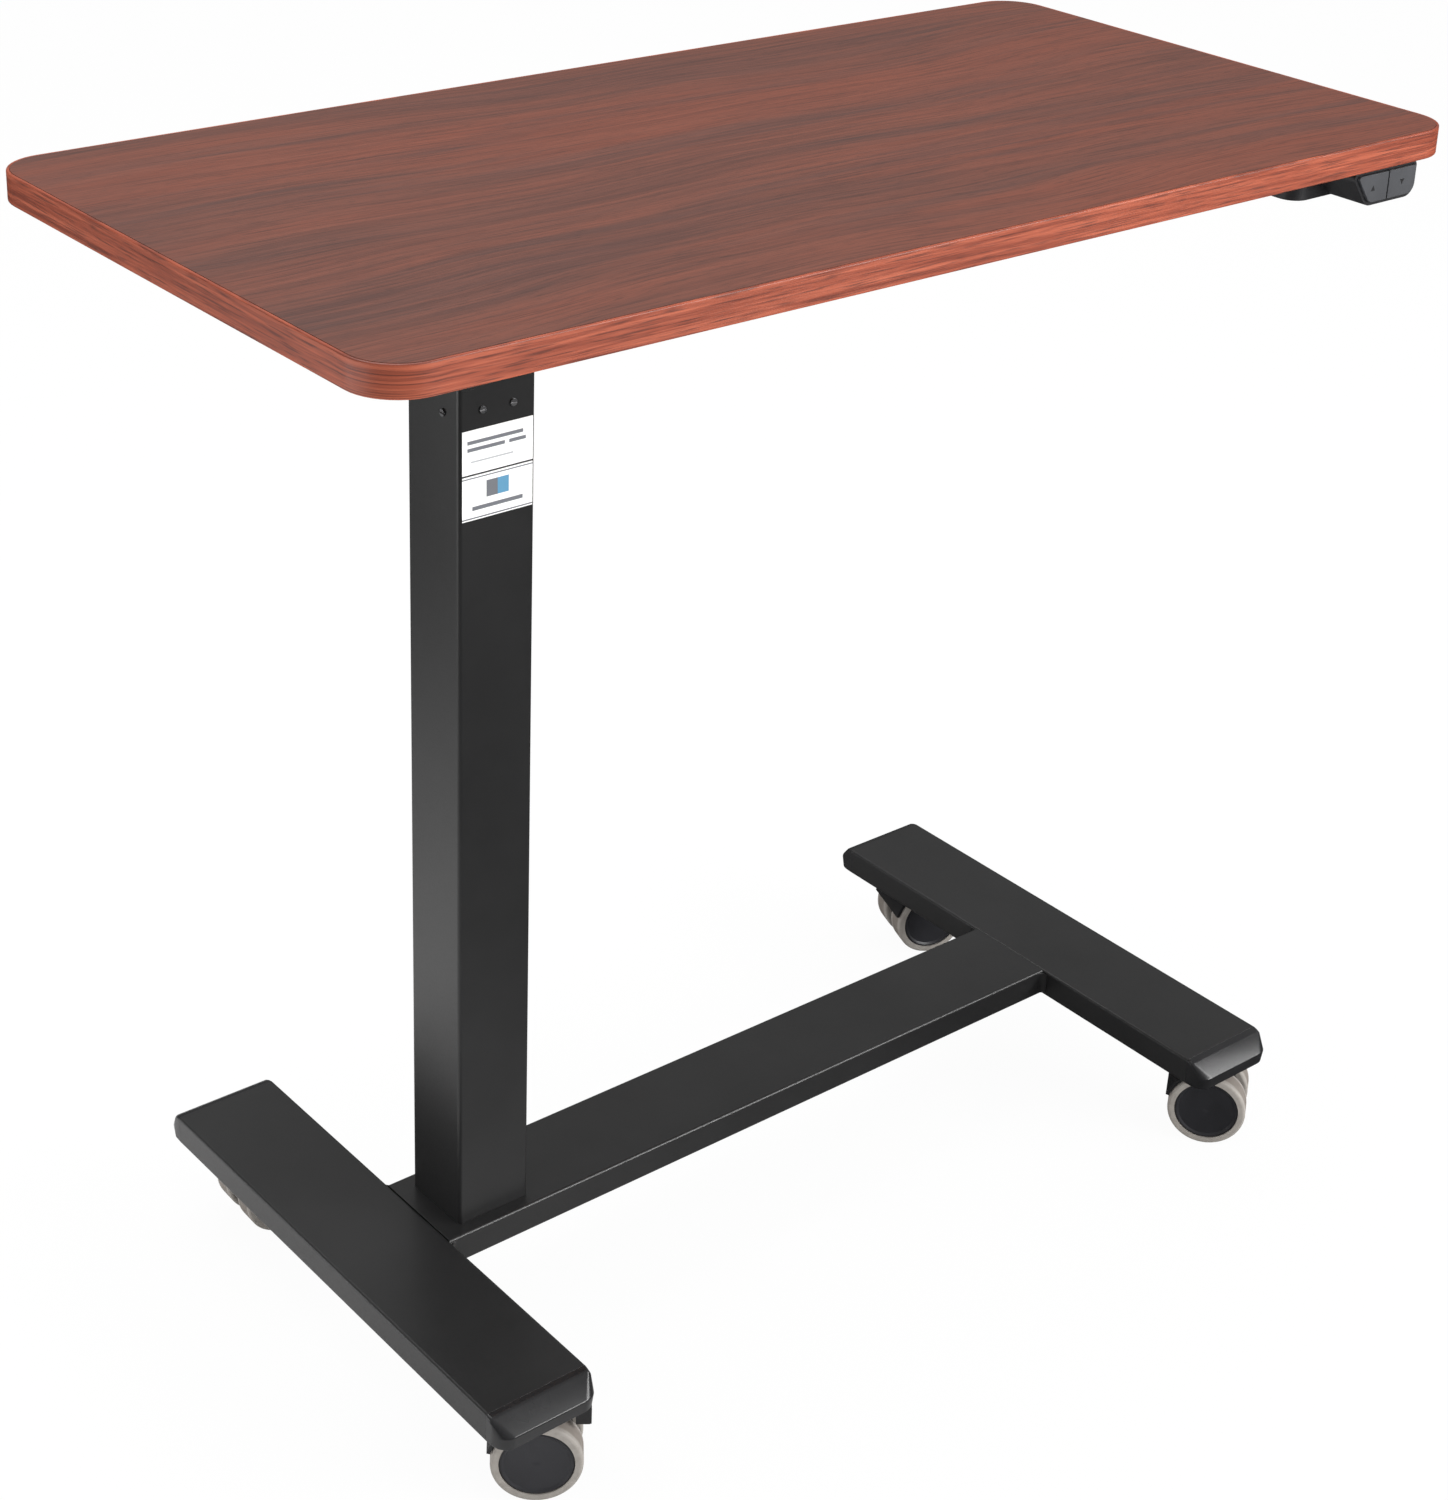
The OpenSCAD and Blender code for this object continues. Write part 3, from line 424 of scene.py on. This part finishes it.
for node_name, node_object in nodes.items():
    paint(node_object, slot_of[node_name])
    smooth(node_object)
    if node_name in edge_rounding:
        weld(node_object)
        round_edges(node_object, edge_rounding[node_name])
    level_normals(node_object)
    if "_tyre_" in node_name:
        mark_across(node_object)


# ---- new pieces ----

def dress(obj, slot, body, limit=40):
    """Finishes a new piece and lets it move with a body."""
    paint(obj, slot)
    smooth(obj, limit)
    level_normals(obj)
    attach(obj, body)
    return obj


def skin(name, points, slot, body, limit=40):
    """Convex skin round a cloud of points."""
    shape = bmesh.new()
    for point in points:
        shape.verts.new(point)
    found = bmesh.ops.convex_hull(shape, input=shape.verts)
    spare = [v for v in found["geom_interior"] + found["geom_unused"] if isinstance(v, bmesh.types.BMVert)]
    bmesh.ops.delete(shape, geom=list(set(spare)), context="VERTS")
    mesh = bpy.data.meshes.new(name)
    shape.to_mesh(mesh)
    shape.free()
    obj = bpy.data.objects.new(name, mesh)
    scene.collection.objects.link(obj)
    return dress(obj, slot, body, limit)


def ball(centre, radius, rings=8, sides=16):
    """Points of a ball, the seed of a rounded corner."""
    cloud = []
    for i in range(rings + 1):
        lift = math.pi * i / rings - math.pi / 2
        for k in range(sides if 0 < i < rings else 1):
            turn = 2 * math.pi * k / sides
            ray = Vector((math.cos(lift) * math.cos(turn), math.cos(lift) * math.sin(turn), math.sin(lift)))
            cloud.append(Vector(centre) + radius * ray)
    return cloud


def foot_cap(foot, end, name):
    """Moulded cap on a foot's end: full section at the seam, soft shoulder, slope to a rounded ridge."""
    low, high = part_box(foot)
    cap_low, cap_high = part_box("foot_end_caps")
    seam = high.y if end > 0 else low.y
    tip = cap_high.y if end > 0 else cap_low.y
    middle, half = (low.x + high.x) / 2, (high.x - low.x) / 2
    ridge_height = 0.0100
    ridge_r = 0.0018
    skirt_r = 0.0008
    plan_r = 0.011
    # How far each shoulder section is from the seam, how far its top drops, and its corner radius.
    shoulder = [(0.0, 0.0, 0.002), (0.0025, 0.0004, 0.0024), (0.0050, 0.0014, 0.0028)]
    steps = 10
    cloud = []
    for out, drop, corner in shoulder:
        for side in (-1, 1):
            for z, up in ((low.z + corner, -1), (high.z - drop - corner, 1)):
                for i in range(steps + 1):
                    a = math.pi / 2 * i / steps
                    x = middle + side * (half - corner + corner * math.cos(a))
                    cloud.append(Vector((x, seam + end * out, z + up * corner * math.sin(a))))
    reach = plan_r - ridge_r
    for side in (-1, 1):
        for z, radius in ((low.z + skirt_r, skirt_r), (low.z + ridge_height - ridge_r, ridge_r)):
            for i in range(steps + 1):
                a = math.pi / 2 * i / steps
                x = middle + side * (half - plan_r + reach * math.cos(a))
                y = tip + end * (-plan_r + reach * math.sin(a))
                cloud += ball((x, y, z), radius)
    return skin(name, cloud, "cap_plastic", "base", 30)


caps = [
    foot_cap(foot, end, f"{foot}_{place}_cap")
    for foot in ("foot_left", "foot_right")
    for end, place in ((-1, "front"), (1, "rear"))
]
for cap in caps:
    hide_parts("foot_end_caps")


def button_mark(button, direction, body):
    """Raised triangle on a button, which points up or down."""
    low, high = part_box(button)
    centre = (low + high) / 2
    half_width, half_height = 0.0021, 0.0018
    proud, sunk = 0.00015, 0.0006
    corners = [(-half_width, -half_height), (half_width, -half_height), (0, half_height)]
    cloud = []
    for across, up in corners:
        for depth, shrink in ((-proud, 0.9), (sunk, 1.0)):
            spot = (centre.x + across * shrink, low.y + depth, centre.z + direction * up * shrink)
            cloud.append(Vector(spot))
    mark = skin(f"{button}_mark", cloud, "button_plastic", body, 30)
    mark.data.materials[0] = finishes["mark_ink"]


button_mark("button_up", 1, "up_button")
button_mark("button_down", -1, "down_button")


def round_cable():
    """The cables with a smooth round surface."""
    source = nodes["cables"]
    obj = bpy.data.objects.new("cable_run", source.data.copy())
    scene.collection.objects.link(obj)
    shape = bmesh.new()
    shape.from_mesh(obj.data)
    bmesh.ops.remove_doubles(shape, verts=shape.verts, dist=1e-6)
    shape.to_mesh(obj.data)
    shape.free()
    level = obj.modifiers.new("round", "SUBSURF")
    level.levels = level.render_levels = 1
    dress(obj, "cable_jacket", "lift", 80)
    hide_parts("cables")


round_cable()


# ---- floor, light and camera ----

def build_floor():
    """White floor, clear from below. Its colour in reflections is painted: a painted pool of light near the
    column that fades to painted shade further off.
    """
    mesh = bpy.data.meshes.new("floor")
    size = 30
    corners = [(-size, -size, 0), (size, -size, 0), (size, size, 0), (-size, size, 0)]
    mesh.from_pydata(corners, [], [(0, 1, 2, 3)])
    floor = bpy.data.objects.new("floor", mesh)
    scene.collection.objects.link(floor)
    f = Finish("floor_white", Roughness=0.9, Specular_IOR_Level=0.1)
    paths = f.add("ShaderNodeLightPath")
    offset = f.add("ShaderNodeVectorMath", {0: f.place, 1: (0.55, -0.15, 0)}, operation="ADD")
    distance = f.add("ShaderNodeVectorMath", {0: offset.outputs[0]}, operation="LENGTH").outputs["Value"]
    # Painted reflection: for glossy rays the floor is painted bright near the column and dark further off,
    # which sets the light and shade seen in the steel.
    painted_pool_amount = f.fade(distance, 0.20, 0.85, 0.85, 0.05)
    painted_pool_colour = f.add("ShaderNodeCombineColor", {0: painted_pool_amount, 1: painted_pool_amount, 2: painted_pool_amount}).outputs[0]
    f.set("Base_Color", f.mix(paths.outputs["Is Glossy Ray"], (0.86, 0.86, 0.86), painted_pool_colour))
    glow = f.add("ShaderNodeEmission", {"Color": (1, 1, 1, 1), "Strength": 1.0})
    blend = f.add("ShaderNodeMixShader", {0: f.maths("MULTIPLY", paths.outputs["Is Camera Ray"], 0.96)})
    output = f.tree.nodes["Material Output"]
    f.feed(blend.inputs[1], f.shader.outputs[0])
    f.feed(blend.inputs[2], glow.outputs[0])
    below = f.add("ShaderNodeNewGeometry").outputs["Backfacing"]
    shown = f.add("ShaderNodeMixShader", {0: below})
    f.feed(shown.inputs[1], blend.outputs[0])
    f.feed(shown.inputs[2], f.add("ShaderNodeBsdfTransparent").outputs[0])
    f.feed(output.inputs[0], shown.outputs[0])
    mesh.materials.append(f.material)


def build_world():
    """White to the camera, dim in reflections, and a top-weighted grey to everything else."""
    world = bpy.data.worlds.new("studio")
    scene.world = world
    world.use_nodes = True
    tree = world.node_tree
    background = tree.nodes["Background"]
    paths = tree.nodes.new("ShaderNodeLightPath")
    place = tree.nodes.new("ShaderNodeTexCoord")
    split = tree.nodes.new("ShaderNodeSeparateXYZ")
    tree.links.new(place.outputs["Generated"], split.inputs[0])

    def brightness(low, high, start, end):
        """Strength that goes from start to end as the direction rises from low to high."""
        node = tree.nodes.new("ShaderNodeMapRange")
        tree.links.new(split.outputs["Z"], node.inputs[0])
        for index, value in enumerate((low, high, start, end), 1):
            node.inputs[index].default_value = value
        return node.outputs[0]

    ray = tree.nodes.new("ShaderNodeMix")
    tree.links.new(paths.outputs["Is Glossy Ray"], ray.inputs[0])
    tree.links.new(brightness(-0.1, 0.9, 0.30, 0.85), ray.inputs[2])
    tree.links.new(brightness(0.0, 0.6, 0.06, 0.42), ray.inputs[3])
    level = tree.nodes.new("ShaderNodeMix")
    tree.links.new(paths.outputs["Is Camera Ray"], level.inputs[0])
    tree.links.new(ray.outputs[0], level.inputs[2])
    level.inputs[3].default_value = 1.0
    tree.links.new(level.outputs[0], background.inputs["Strength"])
    background.inputs["Color"].default_value = (1, 1, 1, 1)


def soft_light(name, place, target, size, power):
    """Rectangular light that the camera does not see."""
    data = bpy.data.lights.new(name, "AREA")
    data.shape = "RECTANGLE"
    data.size, data.size_y = size
    data.energy = power
    light = bpy.data.objects.new(name, data)
    scene.collection.objects.link(light)
    light.location = place
    light.rotation_mode = "QUATERNION"
    light.rotation_quaternion = (Vector(target) - Vector(place)).to_track_quat("-Z", "Y")
    light.visible_camera = False


def build_camera():
    """Three-quarter view from the front left, with a shifted lens. The shift is off once the camera moves."""
    data = bpy.data.cameras.new("camera")
    data.lens, data.sensor_width = 67.496, 36
    camera = bpy.data.objects.new("camera", data)
    scene.collection.objects.link(camera)
    home = Vector((-1.0524, -1.2254, 1.1983))
    heading, tilt, roll = (math.radians(a) for a in (-40.64, 67.21, 2.471))
    turn = Matrix.Rotation(heading, 3, "Z") @ Matrix.Rotation(tilt, 3, "X") @ Matrix.Rotation(roll, 3, "Z")
    camera.location = home
    camera.rotation_mode = "QUATERNION"
    camera.rotation_quaternion = turn.to_quaternion()
    data.clip_start, data.clip_end = 0.05, 100
    for axis, shift in (("shift_x", -0.01847), ("shift_y", -0.17687)):
        driver = data.driver_add(axis).driver
        spot = driver.variables.new()
        spot.name = "x"
        spot.targets[0].id = camera
        spot.targets[0].data_path = "location[0]"
        driver.expression = f"{shift} if abs(x - {home.x:.4f}) < 0.001 else 0.0"
    scene.camera = camera


build_floor()
build_world()
soft_light("key", (2.3, -2.7, 1.9), (0.0, -0.1, 0.4), (1.6, 1.0), 58)
soft_light("top", (-0.3, 0.5, 2.8), (0, 0, 0), (2.4, 2.0), 48)
soft_light("left_strip", (-1.6, 0.5, 0.12), (-0.3, 0.0, 0.08), (1.6, 0.25), 5)
soft_light("front_strip", (1.15, -2.6, 1.0), (0.0, -0.1, 0.1), (1.5, 0.30), 38)
build_camera()
scene.view_settings.view_transform = "Standard"
